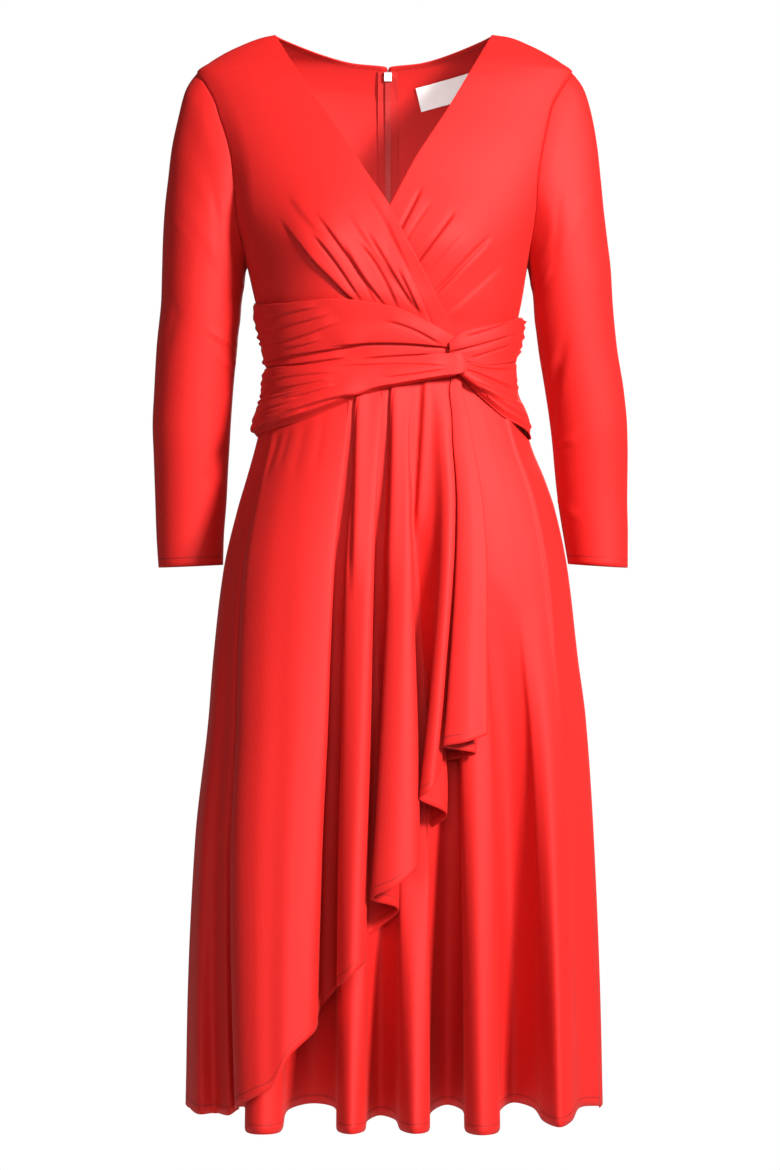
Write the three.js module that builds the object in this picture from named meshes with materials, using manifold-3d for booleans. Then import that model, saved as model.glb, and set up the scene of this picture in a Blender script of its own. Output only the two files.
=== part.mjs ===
// Jersey wrap-look midi dress, filled out as worn. Millimetres, front at -Y, +Z up,
// +X to the wearer's left, origin between the tops of the shoulders.
import * as THREE from 'three';
import ManifoldModule from 'manifold-3d';
import { mergeVertices } from 'three/addons/utils/BufferGeometryUtils.js';

// Cloth, layers and seams
const cloth = 1.2;
const seamGap = 0.3;
const tuck = 8;
const overFrontLift = 5;
const overlayLift = 3;
const overlaySideLift = 2;

// Heights of the cut lines
const neckPointZ = -2;
const shoulderTipZ = -42;
const underarmZ = -248;
const waistZ = -350;
const hemZ = -1136;

// Grid sizes
const armholeSteps = 8;
const sideSteps = 9;
const sleeveSides = 2 * armholeSteps;

const quarter = Math.PI / 2;
const { clamp, lerp, degToRad } = THREE.MathUtils;
const ease = (from, to, value) => THREE.MathUtils.smoothstep(value, from, to);
const bump = (distance) => Math.max(0, Math.cos(clamp(distance, -1, 1) * quarter)) ** 2;
const table = (names, ...lines) =>
  lines.map((line) => Object.fromEntries(names.map((name, i) => [name, line[i]])));

// A smooth curve through one column of a table, without overshoot
function track(lines, at, of) {
  const sorted = [...lines].sort((p, q) => p[at] - q[at]);
  const x = sorted.map((line) => line[at]);
  const y = sorted.map((line) => line[of]);
  const slope = x.slice(1).map((next, i) => (y[i + 1] - y[i]) / (next - x[i]));
  const tangent = x.map((_, i) => {
    if (i === 0) return slope[0];
    if (i === x.length - 1) return slope[i - 1];
    const product = slope[i - 1] * slope[i];
    return product > 0 ? (2 * product) / (slope[i - 1] + slope[i]) : 0;
  });
  return (value) => {
    const place = clamp(value, x[0], x.at(-1));
    let i = 0;
    while (i < x.length - 2 && place > x[i + 1]) i += 1;
    const step = x[i + 1] - x[i];
    const s = (place - x[i]) / step;
    const bend = s * s * (3 - 2 * s);
    const rise = s * (1 - s) * ((1 - s) * tangent[i] - s * tangent[i + 1]) * step;
    return lerp(y[i], y[i + 1], bend) + rise;
  };
}

// The filled-out form: half widths to the wearer's right and left, depths, and squareness of the section
const form = table(['z', 'right', 'left', 'front', 'back', 'square'],
  [-2, 119, 110, 8, 10, 2.2],
  [-5, 133, 129, 12, 22, 2.2],
  [-12, 152, 147, 18, 40, 2.2],
  [-22, 173, 167, 27, 60, 2.2],
  [-32, 189, 183, 36, 68, 2.2],
  [-42, 202, 195, 43, 74, 2.2],
  [-52, 203, 195, 50, 79, 2.2],
  [-85, 200, 190, 67, 87, 2.2],
  [-120, 191, 185, 84, 92, 2.2],
  [-160, 180, 175, 100, 95, 2.2],
  [-200, 168, 163, 112, 95, 2.2],
  [-240, 151, 149, 118, 93, 2.25],
  [-285, 140, 141, 115, 89, 2.3],
  [-320, 131, 134, 106, 87, 2.35],
  [-350, 124, 130, 98, 85, 2.4],
  [-380, 123, 131, 103, 90, 2.42],
  [-409, 130, 143, 107, 96, 2.45],
  [-441, 138, 153, 110, 102, 2.5],
  [-472, 147, 166, 113, 108, 2.55],
  [-505, 157, 177, 116, 116, 2.6],
  [-568, 172, 190, 118, 125, 2.7],
  [-663, 183, 201, 115, 132, 2.8],
  [-726, 188, 209, 113, 136, 2.9],
  [-853, 202, 217, 110, 142, 3.0],
  [-1022, 210, 223, 108, 147, 3.1],
  [-1136, 212, 225, 107, 150, 3.2]);
const formAt = Object.fromEntries(
  ['right', 'left', 'front', 'back', 'square'].map((name) => [name, track(form, 'z', name)]));
const halfWidth = (sign, z) => (sign < 0 ? formAt.right(z) : formAt.left(z));

const bustCentre = { x: 76, z: -232 };
const bustSpread = { x: 52, z: 46 };
const bustRise = 14;
function bust(x, z) {
  const side = (Math.abs(x) - bustCentre.x) / bustSpread.x;
  const height = (z - bustCentre.z) / bustSpread.z;
  return bustRise * Math.exp(-side * side - height * height);
}

const angleAt = (x, z) =>
  Math.sign(x) * Math.asin(Math.min(1, (Math.abs(x) / halfWidth(x, z)) ** (formAt.square(z) / 2)));

// A point of the form, at an angle from the centre line, moved out by lift
function skin(angle, z, lift = 0, behind = false) {
  const power = 2 / formAt.square(z);
  const x = (halfWidth(angle, z) + lift) * Math.sign(angle) * Math.abs(Math.sin(angle)) ** power;
  const out = Math.max(0, Math.cos(angle)) ** power;
  const depth = ((behind ? formAt.back(z) : formAt.front(z) + bust(x, z)) + lift) * out;
  return new THREE.Vector3(x, (behind ? 1 : -1) * Math.max(depth, seamGap / 2), z);
}

// A wall of cloth under a grid of outer points. flat names the axis that an edge's wall must not lean along.
function wall(grid, { thickness = cloth, closed = false, flat = () => '', centre } = {}) {
  const rows = grid.length;
  const columns = grid[0].length;
  const middle = centre ?? ((point) => new THREE.Vector3(0, 0, point.z));
  const column = (c) => (closed ? (c + columns) % columns : clamp(c, 0, columns - 1));
  let facing = 0;
  const normals = grid.map((line, r) => line.map((point, c) => {
    const along = grid[r][column(c + 1)].clone().sub(grid[r][column(c - 1)]);
    const down = grid[Math.min(r + 1, rows - 1)][c].clone().sub(grid[Math.max(r - 1, 0)][c]);
    const normal = along.cross(down).normalize();
    facing += normal.dot(point.clone().sub(middle(point, r)));
    const axis = flat(r, c, rows - 1, columns - 1);
    for (const name of axis) normal[name] = 0;
    return normal.normalize();
  }));
  const inward = facing > 0 ? -thickness : thickness;
  const outer = grid.flat();
  const inner = outer.map((point, i) => point.clone().addScaledVector(normals.flat()[i], inward));
  const index = [];
  const quad = (a, b, c, d) => index.push(a, b, c, a, c, d);
  const at = (r, c, side) => side * rows * columns + r * columns + column(c);
  const spans = closed ? columns : columns - 1;
  for (let r = 0; r < rows - 1; r += 1) {
    for (let c = 0; c < spans; c += 1) {
      quad(at(r, c, 0), at(r, c + 1, 0), at(r + 1, c + 1, 0), at(r + 1, c, 0));
      quad(at(r, c, 1), at(r + 1, c, 1), at(r + 1, c + 1, 1), at(r, c + 1, 1));
    }
    if (!closed) {
      quad(at(r, 0, 0), at(r + 1, 0, 0), at(r + 1, 0, 1), at(r, 0, 1));
      const end = columns - 1;
      quad(at(r, end, 0), at(r, end, 1), at(r + 1, end, 1), at(r + 1, end, 0));
    }
  }
  for (let c = 0; c < spans; c += 1) {
    const end = rows - 1;
    quad(at(0, c, 0), at(0, c, 1), at(0, c + 1, 1), at(0, c + 1, 0));
    quad(at(end, c, 0), at(end, c + 1, 0), at(end, c + 1, 1), at(end, c, 1));
  }
  if (facing < 0) index.reverse();
  const geometry = new THREE.BufferGeometry().setFromPoints([...outer, ...inner]);
  geometry.setIndex(index);
  return geometry;
}

const jersey = new THREE.MeshStandardMaterial({ color: 0xe23330, roughness: 0.85, metalness: 0 });
const tapeCloth = new THREE.MeshStandardMaterial({ color: 0xc92c2b, roughness: 0.9, metalness: 0 });
const nylon = new THREE.MeshStandardMaterial({ color: 0xd02f2d, roughness: 0.5, metalness: 0 });
const silver = new THREE.MeshStandardMaterial({ color: 0xc0c0c4, roughness: 0.3, metalness: 1 });
const satin = new THREE.MeshStandardMaterial({ color: 0xf4f2f0, roughness: 0.6, metalness: 0 });

const dress = new THREE.Group();
function add(name, geometry, material = jersey) {
  const mesh = new THREE.Mesh(geometry, material);
  mesh.name = name;
  dress.add(mesh);
  return mesh;
}

// Armhole: how far round the section its edge lies, in degrees from the centre line
const armhole = table(['z', 'round'],
  [-42, 90], [-56, 72], [-85, 63], [-130, 60.5], [-165, 63], [-190, 68], [-225, 77], [-240, 83], [-248, 90]);
const armholeRound = track(armhole, 'z', 'round');
const armholeZ = (step) =>
  lerp(shoulderTipZ, underarmZ, (1 - Math.cos((Math.PI * step) / armholeSteps)) / 2);
const sideZ = (step) => lerp(underarmZ, waistZ + seamGap / 2, (step - armholeSteps) / sideSteps);

// A bodice panel between an inner edge, given as x and z by step, and the armhole and side seam
function bodicePanel({ sign, columns, inner, behind = false, lift, spread = (u) => u }) {
  const grid = [];
  for (let step = 0; step <= armholeSteps + sideSteps; step += 1) {
    const onArmhole = step <= armholeSteps;
    const outerZ = onArmhole ? armholeZ(step) : sideZ(step);
    const outerAngle = sign * (onArmhole ? degToRad(armholeRound(outerZ)) : quarter);
    const edge = inner(step);
    const innerAngle = step === 0 ? sign * quarter : angleAt(edge.x, edge.z);
    const line = [];
    for (let c = 0; c <= columns; c += 1) {
      const across = c / columns;
      const u = spread(across, step);
      const z = lerp(edge.z, outerZ, u);
      line.push(skin(lerp(innerAngle, outerAngle, u), z, lift(across, step, u), behind));
    }
    grid.push(line);
  }
  return grid;
}

// Fronts: the neckline edge of each, from the shoulder down to the waist seam
const overEdge = table(['z', 'x'],
  [-2, -119], [-53, -90], [-117, -48], [-161, -21], [-195, 1],
  [-234, 20], [-286, 47], [-321, 64], [-350, 71]);
const underEdge = table(['z', 'x'],
  [-2, 110], [-52, 83], [-89, 62], [-144, 28], [-190, 4], [-234, -20], [-286, -45], [-321, -60], [-350, -66]);
const edgeBesideUnderarmZ = -215;
function frontInner(edge) {
  const edgeX = track(edge, 'z', 'x');
  return (step) => {
    const downArmhole = (armholeZ(step) - shoulderTipZ) / (underarmZ - shoulderTipZ);
    const z = step <= armholeSteps
      ? lerp(neckPointZ, edgeBesideUnderarmZ, downArmhole)
      : lerp(edgeBesideUnderarmZ, waistZ + seamGap / 2, (step - armholeSteps) / sideSteps);
    return { x: edgeX(z), z };
  };
}

// Pleats: place across the panel, half width, depth, and the steps between which each one shows
const overPleats = table(['across', 'half', 'depth', 'from', 'to'],
  [0.77, 0.07, 2.6, 6.0, 14.5],
  [0.59, 0.05, 2.4, 8.0, 15.0],
  [0.46, 0.05, 2.8, 6.5, 15.0],
  [0.32, 0.05, 2.6, 7.5, 15.5],
  [0.18, 0.05, 2.2, 8.5, 15.5]);
const underPleats = table(['across', 'half', 'depth', 'from', 'to'],
  [0.30, 0.07, 2.4, 6.5, 14.0],
  [0.50, 0.07, 2.8, 7.0, 15.0],
  [0.72, 0.08, 2.6, 8.5, 15.5]);
const pleatFade = { start: 3, beforeEnd: 1.5, pastEnd: 1 };
const pleatShown = (pleat, step) => ease(pleat.from, pleat.from + pleatFade.start, step)
  * (1 - ease(pleat.to - pleatFade.beforeEnd, pleat.to + pleatFade.pastEnd, step));
const pleatDepth = (pleats, across, step) => pleats.reduce((sum, pleat) =>
  sum - pleat.depth * bump((across - pleat.across) / pleat.half) * pleatShown(pleat, step), 0);

// Between these steps the pleats draw their part of the panel towards the knot
const draw = { share: 0.4, part: 0.82, from: 6, to: 15 };
function drawn(across, step) {
  const pull = draw.share * ease(draw.from, draw.to, step);
  const low = Math.min(across, draw.part) * (1 - pull);
  const rest = Math.max(0, across - draw.part) / (1 - draw.part);
  return low + rest * (1 - draw.part * (1 - pull));
}

// The upper front stands off the lower one from this step on, and comes back to it at the side
const overFull = { step: 7, sideFrom: 0.7 };
const overLift = (u, step) =>
  overFrontLift * ease(0, overFull.step, step) * (1 - ease(overFull.sideFrom, 1, u));
const edgeAxis = (r, c, lastRow, lastColumn) =>
  (r === 0 || (c === lastColumn && r >= armholeSteps) ? 'y' : '') + (r === lastRow ? 'z' : '');
add('bodice_right_front', wall(bodicePanel({
  sign: -1,
  columns: 22,
  inner: frontInner(overEdge),
  spread: drawn,
  lift: (across, step, u) => overLift(u, step) + pleatDepth(overPleats, across, step),
}), { flat: edgeAxis }));
add('bodice_left_front', wall(bodicePanel({
  sign: 1,
  columns: 18,
  inner: frontInner(underEdge),
  spread: drawn,
  lift: (across, step) => pleatDepth(underPleats, across, step),
}), { flat: edgeAxis }));

// Backs: the neckline to the centre back, as shares of the neck's half width, then the zip edge
const zipEdge = 0.8;
const neckSteps = 4;
const backPieces = [];
const backInner = table(['step', 'share', 'z'],
  [0, 1, neckPointZ], [1, 0.82, -8], [2, 0.6, -14.8], [3, 0.32, -21.6], [neckSteps, 0, -26],
  [5, 0, -48], [6, 0, -85], [armholeSteps, 0, -165], [armholeSteps + sideSteps, 0, waistZ + seamGap / 2]);
const backInnerShare = track(backInner, 'step', 'share');
const backInnerZ = track(backInner, 'step', 'z');
for (const [name, sign] of [['right', -1], ['left', 1]]) {
  const grid = bodicePanel({
    sign,
    columns: 8,
    behind: true,
    inner: (step) => ({
      x: sign * Math.max(zipEdge, backInnerShare(step) * halfWidth(sign, neckPointZ)),
      z: backInnerZ(step),
    }),
    lift: () => 0,
  });
  const flat = (r, c, lastRow, lastColumn) =>
    (c === 0 && r >= neckSteps ? 'x' : '') + edgeAxis(r, c, lastRow, lastColumn);
  backPieces.push(add(`bodice_back_${name}`, wall(grid, { flat })));
}

// Sleeves: outer and inner edge of each section, its half depth and how far back its middle lies
const sleeveColumns = ['outX', 'outZ', 'inX', 'inZ', 'half', 'y'];
const rightSleeve = table(sleeveColumns,
  [-200, -42, -152, -248, 48, 0],
  [-212, -60, -153, -254, 50, 0],
  [-221, -92, -153, -260, 51, 0],
  [-228, -124, -153, -267, 52, 0],
  [-232, -155, -154, -276, 52, 0],
  [-236, -187, -155, -288, 51, 1],
  [-238, -219, -156, -302, 50, 2],
  [-239, -251, -158, -316, 49, 3],
  [-240, -282, -160, -338, 48, 5],
  [-245, -330, -163, -366, 46, 8],
  [-248, -377, -166, -402, 44, 12],
  [-250, -415, -168, -432, 43, 16],
  [-249, -450, -170, -462, 41, 20],
  [-248, -490, -172, -496, 39, 25],
  [-247, -530, -175, -532, 37, 30],
  [-245, -565, -176, -562, 35, 33]);
const leftSleeve = table(sleeveColumns,
  [191, -42, 148, -248, 48, 0],
  [204, -60, 149, -254, 50, 0],
  [214, -92, 150, -260, 51, 0],
  [220, -124, 151, -267, 52, 0],
  [224, -155, 153, -276, 52, 0],
  [228, -187, 154, -288, 51, 2],
  [232, -219, 155, -302, 50, 4],
  [236, -251, 157, -316, 49, 7],
  [238, -282, 160, -338, 48, 11],
  [243, -330, 165, -366, 46, 17],
  [251, -377, 171, -402, 44, 24],
  [255, -415, 175, -432, 43, 30],
  [256, -450, 178, -462, 41, 36],
  [256, -490, 182, -496, 39, 42],
  [257, -530, 188, -532, 37, 46],
  [257, -565, 193, -561, 35, 48]);
const capRings = 5;
const sleeveGap = 1.5 * seamGap;
function sleeveGrid(sections, sign) {
  const ellipse = (section, turn) => new THREE.Vector3(
    lerp(section.inX, section.outX, (1 + Math.cos(turn)) / 2),
    section.y - section.half * Math.sin(turn),
    lerp(section.inZ, section.outZ, (1 + Math.cos(turn)) / 2));
  return sections.map((section, r) => {
    const line = [];
    for (let side = 0; side < sleeveSides; side += 1) {
      const turn = (2 * Math.PI * side) / sleeveSides;
      const z = armholeZ(side <= armholeSteps ? side : sleeveSides - side);
      const seam = skin(sign * degToRad(armholeRound(z)), z, 0, side > armholeSteps);
      const shift = seam.sub(ellipse(sections[0], turn)).multiplyScalar(Math.max(0, 1 - r / capRings));
      const point = ellipse(section, turn).add(shift);
      point.x += sign * (r === 0 ? sleeveGap : 0);
      line.push(point);
    }
    return line;
  });
}
for (const [name, sections, sign] of [['right', rightSleeve, -1], ['left', leftSleeve, 1]]) {
  const grid = sleeveGrid(sections, sign);
  const centres = grid.map((line) =>
    line.reduce((sum, point) => sum.add(point), new THREE.Vector3()).divideScalar(line.length));
  const flat = (r, c, lastRow) => (r === 0 ? 'x' : '') + (r === lastRow ? 'z' : '');
  add(`sleeve_${name}`, wall(grid, { closed: true, flat, centre: (point, r) => centres[r] }));
}

// Waistband pieces: sections from the side seam to the knot, with the creases that run along them
const bandColumns = ['x', 'top', 'bottom', 'lift'];
const bands = {
  band_upper_right: {
    steps: 13,
    gathers: 8,
    sections: table(bandColumns,
      [-160, -286, -364, 5.2], [-122, -291, -369, 7], [-95, -294, -370, 9], [-51, -292, -363, 9.5],
      [-20, -295, -361, 9.5], [5, -300, -360, 10], [30, -311, -359, 10.5], [48, -321, -357, 12],
      [68, -333, -352, 12]),
    creases: table(['across', 'half', 'depth'], [0.3, 0.14, 1.5], [0.66, 0.16, 1.8]),
  },
  band_lower_right: {
    steps: 13,
    gathers: 9,
    sections: table(bandColumns,
      [-160, -355, -432, 8.6], [-122, -358, -427, 11.4], [-84, -358, -416, 13.5], [-51, -355, -402, 14.5],
      [-29, -354, -392, 15], [12, -352, -380, 17], [46, -347, -373, 20], [62, -347, -370, 23.5],
      [70, -353, -366, 21]),
    creases: table(['across', 'half', 'depth'], [0.36, 0.16, 1.6], [0.72, 0.16, 1.6]),
  },
  band_upper_left: {
    steps: 9,
    gathers: 5,
    sections: table(bandColumns,
      [55, -336, -348, 17], [67, -325, -353, 18], [91, -317, -357, 14.2], [112, -311, -354, 10.6],
      [128, -305, -349, 8.6], [160, -301, -341, 8]),
    creases: table(['across', 'half', 'depth'], [0.34, 0.18, 1.6], [0.7, 0.16, 1.6]),
  },
  band_lower_left: {
    steps: 10,
    gathers: 10,
    sections: table(bandColumns,
      [66, -358, -365, 13.5], [78, -355, -375, 12.5], [92, -350, -391, 10], [110, -347, -411, 7.5],
      [130, -342, -424, 5.2], [160, -333, -430, 4]),
    creases: table(['across', 'half', 'depth'], [0.3, 0.1, 1.2], [0.52, 0.1, 1.4], [0.76, 0.1, 1.4]),
  },
};
const gather = { depth: 0.9, reach: 0.25 };
const creaseStart = 0.3;
const bandPuff = 1.6;
for (const [name, band] of Object.entries(bands)) {
  const last = band.sections.length - 1;
  const lines = band.sections.map((section, i) =>
    ({ ...section, at: i / last, round: angleAt(section.x, (section.top + section.bottom) / 2) }));
  const read = Object.fromEntries(
    ['round', 'top', 'bottom', 'lift'].map((column) => [column, track(lines, 'at', column)]));
  const sideEnd = lines[0].x < 0 ? 0 : 1;
  const across = 2 * band.gathers;
  const grid = [];
  for (let q = 0; q <= across; q += 1) {
    const place = q / across;
    const line = [];
    for (let s = 0; s <= band.steps; s += 1) {
      const at = s / band.steps;
      const fromSide = Math.abs(at - sideEnd);
      const gathered = gather.depth * (q % 2 ? 1 : -1) * (1 - ease(0, gather.reach, fromSide));
      const crease = ease(0, creaseStart, fromSide) * band.creases.reduce((sum, fold) =>
        sum + fold.depth * bump((place - fold.across) / fold.half), 0);
      const lift = read.lift(at) + bandPuff * Math.sin(Math.PI * place) + gathered - crease;
      line.push(skin(read.round(at), lerp(read.top(at), read.bottom(at), place), lift));
    }
    grid.push(line);
  }
  const flat = (r, c, lastRow, lastColumn) => (c === sideEnd * lastColumn ? 'y' : '');
  add(name, wall(grid, { flat }));
}

// A front point of the skirt at a share of the half width
function skirtPoint(share, z, extra) {
  const width = halfWidth(share, z);
  const square = formAt.square(z);
  const base = formAt.front(z) * Math.max(0, 1 - Math.abs(share) ** square) ** (1 / square);
  return new THREE.Vector3(share * width, -Math.max(seamGap / 2, base + extra), z);
}
const skirtDepth = (x, z) => -skirtPoint(x / halfWidth(x, z), z, 0).y;


// The skirt's rows lie closer together where the waist curves in
const skirtRows = 12;
const rowBunch = 1.4;
const skirtRowZ = (r, hem) => lerp(waistZ - seamGap / 2, hem, (r / skirtRows) ** rowBunch);
const skirtAxis = (r, c, lastRow, lastColumn) =>
  (r === 0 || r === lastRow ? 'z' : '') + (c === 0 || c === lastColumn ? 'y' : '');

// Front of the skirt: one row for each fold line, with its place, hem height and depth at the hem, and
// the height where it opens. The hem rises where a fold turns in.
const frontFolds = table(['x', 'hem', 'depth', 'opens'],
  [-212, -1131, 0, -430], [-180, -1135, 42, -430], [-150, -1124, 66, -430],
  [-142, hemZ, 150, -560], [-126, hemZ, 162, -560], [-110, hemZ, 150, -560],
  [-102, -1126, 70, -560], [-79, -1124, 45, -560], [-57, -1125, 60, -620],
  [-50, hemZ, 145, -930], [-37, hemZ, 160, -900], [-25, hemZ, 145, -880],
  [-20, -1134, 88, -760], [-8, -1133, 66, -700], [6, -1134, 82, -760],
  [14, hemZ, 140, -885], [27, hemZ, 158, -885], [40, hemZ, 146, -885],
  [45, -1127, 80, -800], [62, -1125, 48, -700], [76, -1127, 66, -620],
  [80, hemZ, 150, -568], [94, hemZ, 166, -568], [110, hemZ, 152, -568],
  [117, -1127, 66, -568], [131, -1124, 40, -580], [150, -1126, 60, -600],
  [160, -1134, 98, -600], [175, hemZ, 120, -600], [188, -1134, 98, -600],
  [200, -1128, 48, -600], [225, -1134, 0, -600]);
const frontGrid = [];
for (let r = 0; r <= skirtRows; r += 1) {
  frontGrid.push(frontFolds.map((fold) => {
    const z = skirtRowZ(r, fold.hem);
    const share = clamp(fold.x / halfWidth(fold.x, fold.hem), -1, 1);
    const open = clamp((fold.opens - z) / (fold.opens - fold.hem), 0, 1);
    return skirtPoint(share, z, (fold.depth - skirtDepth(fold.x, fold.hem)) * open);
  }));
}
add('skirt_front', wall(frontGrid, { flat: skirtAxis }));

// Overlay: one row for each fold line, from its place under the band to its place at the edge.
// turn is how far an inner turn swings sideways near the edge; bow bends the line on its way.
const overlayFolds = table(['topX', 'topZ', 'x', 'z', 'depth', 'turn', 'bow'],
  [-150, -432, -215, -1132, 0, 0, 0],
  [-131, -432, -192, -1132, 66, 0, 0],
  [-124, -430, -178, -1132, 56, 0, 0],
  [-121, -430, -162, -1130, 82, 0, 0],
  [-118, -429, -155, -1126, 76, 0, 0],
  [-115, -429, -151, -1108, 156, 0, 0],
  [-95, -420, -132, -1096, 174, 0, 0],
  [-78, -412, -117, -1088, 177, 0, 0],
  [-59, -405, -99, -1056, 177, 0, 0],
  [-39, -396, -72, -1033, 166, 0, 0],
  [-34, -394, -62, -1020, 92, 0, 0],
  [-29, -392, -52, -986, 166, 0, 0],
  [-13, -388, -36, -973, 176, 0, 0],
  [-2, -385, -22, -964, 168, 0, 0],
  [1, -384, -18, -945, 113, 0, 0],
  [4, -383, -16, -915, 140, 26, 0],
  [6, -383, -14, -898, 172, 0, 0],
  [20, -380, 8, -886, 180, 0, -6],
  [33, -378, 30, -867, 170, 0, -12],
  [37, -377, 35, -842, 117, 0, -14],
  [40, -376, 36, -817, 142, 24, -12],
  [43, -376, 37, -798, 162, 0, -10],
  [51, -374, 47, -790, 166, 0, -4],
  [63, -372, 58, -775, 152, 0, -2],
  [66, -371, 61, -765, 122, 0, 0],
  [68, -370, 63, -754, 146, 28, 0],
  [69.5, -370, 65, -746, 164, 0, 0],
  [71, -369, 82, -741, 170, 0, 0],
  [72.5, -369, 100, -734, 162, 0, 0]);
const overlayRows = 14;
const hollowDelay = 3;
const turnFrom = 0.5;
const sideSpread = 3;
const overlayGrid = [];
for (let r = 0; r <= overlayRows; r += 1) {
  const t = r / overlayRows;
  overlayGrid.push(overlayFolds.map((fold) => {
    const topZ = fold.topZ + tuck;
    const z = lerp(topZ, fold.z, t);
    const topShare = clamp(fold.topX / halfWidth(fold.topX, topZ), -1, 1);
    const endShare = clamp(fold.x / halfWidth(fold.x, fold.z), -1, 1);
    const share = lerp(topShare, endShare, t);
    const point = skirtPoint(share, z, 0);
    if (share === -1) return point.setX(point.x - overlaySideLift);
    const grow = fold.depth - skirtDepth(fold.x, fold.z) - overlayLift;
    point.y -= overlayLift + grow * t ** (grow > 0 ? 1 : hollowDelay);
    point.x += Math.sign(share) * overlayLift * Math.abs(share) ** sideSpread
      + fold.turn * ease(turnFrom, 1, t) + fold.bow * Math.sin(Math.PI * Math.sqrt(t));
    return point;
  }));
}
const overlayAxis = (r, c) => (r === 0 ? 'z' : '') + (c === 0 ? 'y' : '');
add('skirt_overlay', wall(overlayGrid, { flat: overlayAxis }));

// Backs of the skirt: even folds that open from the seat down and fade at the side seam
const backFold = { each: 3, rise: 26, opens: -480, sideFade: 6 };
const backColumns = 18;
for (const [name, sign] of [['right', -1], ['left', 1]]) {
  const grid = [];
  for (let r = 0; r <= skirtRows; r += 1) {
    const z = skirtRowZ(r, hemZ);
    const open = clamp((backFold.opens - z) / (backFold.opens - hemZ), 0, 1);
    const line = [];
    for (let c = 0; c <= backColumns; c += 1) {
      const place = c / backColumns;
      const first = angleAt(sign * zipEdge, z);
      const angle = lerp(first, sign * quarter, place);
      const point = skin(angle, z, 0, true);
      const wave = Math.cos(2 * Math.PI * backFold.each * place);
      const rise = backFold.rise * open * wave * (1 - place ** backFold.sideFade);
      const out = new THREE.Vector3(Math.sin(angle), Math.cos(angle), 0);
      point.addScaledVector(out, c === 0 ? 0 : rise);
      if (c === 0) point.y += rise;
      line.push(point);
    }
    grid.push(line);
  }
  const flat = (r, c, lastRow, lastColumn) =>
    (r === 0 || r === lastRow ? 'z' : '') + (c === 0 ? 'x' : '') + (c === lastColumn ? 'y' : '');
  backPieces.push(add(`skirt_back_${name}`, wall(grid, { flat })));
}

// A point on the face of the back, met from inside or outside, at a distance from it
const ray = new THREE.Raycaster();
function onBack(x, z, distance, fromInside = true) {
  const start = new THREE.Vector3(x, fromInside ? 0 : 2 * formAt.back(hemZ), z);
  ray.set(start, new THREE.Vector3(0, fromInside ? 1 : -1, 0));
  const { point } = ray.intersectObjects(backPieces)[0];
  point.y += fromInside ? -distance : distance;
  return point;
}
const stripOnBack = (fromX, toX, heights, distance) =>
  heights.map((z) => [fromX, toX].map((x) => onBack(x, z, distance)));

// Zip: tapes and chain on the inside of the back
const zip = { edge: 1, tapeWidth: 11, tape: 0.6, chain: 1.4, chainHalf: 3 };
const zipGap = 0.5;
const chainGap = 2.2;
const beforeWaist = [-30, -41, -60, -85, -115, -150, -190, -230, -270, -310, -335, waistZ + 1];
const belowWaist = [waistZ - 1, -365, -390, -430, -470, -515, -560];
const zipHeights = [...beforeWaist, ...belowWaist];
const chainHeights = zipHeights.slice(1, -1);
for (const [name, sign] of [['right', -1], ['left', 1]]) {
  const tape = stripOnBack(sign * zip.edge, sign * zip.tapeWidth, zipHeights, zipGap);
  add(`zip_tape_${name}`, wall(tape, { thickness: zip.tape }), tapeCloth);
}
const chain = stripOnBack(-zip.chainHalf, zip.chainHalf, chainHeights, chainGap);
add('zip_chain', wall(chain, { thickness: zip.chain }), nylon);

// Solids joined from simple shapes
const wasm = await ManifoldModule();
wasm.setup();
function toSolid(geometry) {
  const bare = geometry.clone();
  for (const name of ['normal', 'uv']) bare.deleteAttribute(name);
  const merged = mergeVertices(bare, 1e-4);
  return new wasm.Manifold(new wasm.Mesh({
    numProp: 3,
    vertProperties: new Float32Array(merged.attributes.position.array),
    triVerts: new Uint32Array(merged.index.array),
  }));
}
function joined(...geometries) {
  const mesh = geometries.map(toSolid).reduce((whole, piece) => whole.add(piece)).getMesh();
  const geometry = new THREE.BufferGeometry();
  geometry.setAttribute('position', new THREE.BufferAttribute(mesh.vertProperties, 3));
  geometry.setIndex(new THREE.BufferAttribute(mesh.triVerts, 1));
  return geometry;
}
const block = (x, y, z, centreX, centreY, centreZ) =>
  new THREE.BoxGeometry(x, y, z).translate(centreX, centreY, centreZ);

// Slider and pull, made in a frame that leans with the top of the back: +Y out of the cloth, +Z up it
const slider = { z: -33, width: 8, length: 10, body: 2.4, bodyOuter: -3.6 };
const neck = { width: 1, length: 5, z: 0.5 };
const shield = { inner: 0.6, thick: 1.1, length: 9 };
const pin = { y: 4.2, z: 2.6, radius: 0.6, half: 2.7, sides: 12, ear: 1, earHalf: 1.2 };
const pull = { width: 4.4, thick: 1.1, length: 15, drop: 0.8, stemJoin: 1 };
const pullEye = { outer: 1.7, hole: 0.95, width: 2.4 };
const sliderFrame = new THREE.Group();
const above = onBack(zip.edge, slider.z + slider.length / 3, 0, false);
const below = onBack(zip.edge, slider.z - slider.length / 3, 0, false);
sliderFrame.position.copy(above.clone().lerp(below, 0.5)).setX(0);
sliderFrame.rotation.x = Math.atan2(below.y - above.y, above.z - below.z);
dress.add(sliderFrame);
const bodyInner = slider.bodyOuter - slider.body;
const shieldOuter = shield.inner + shield.thick;
const earTop = pin.y + pin.earHalf;
const ear = (sign) => block(pin.ear, earTop - shield.inner, 2 * pin.earHalf,
  sign * (pin.half - pin.ear / 2), (earTop + shield.inner) / 2, pin.z);
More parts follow.
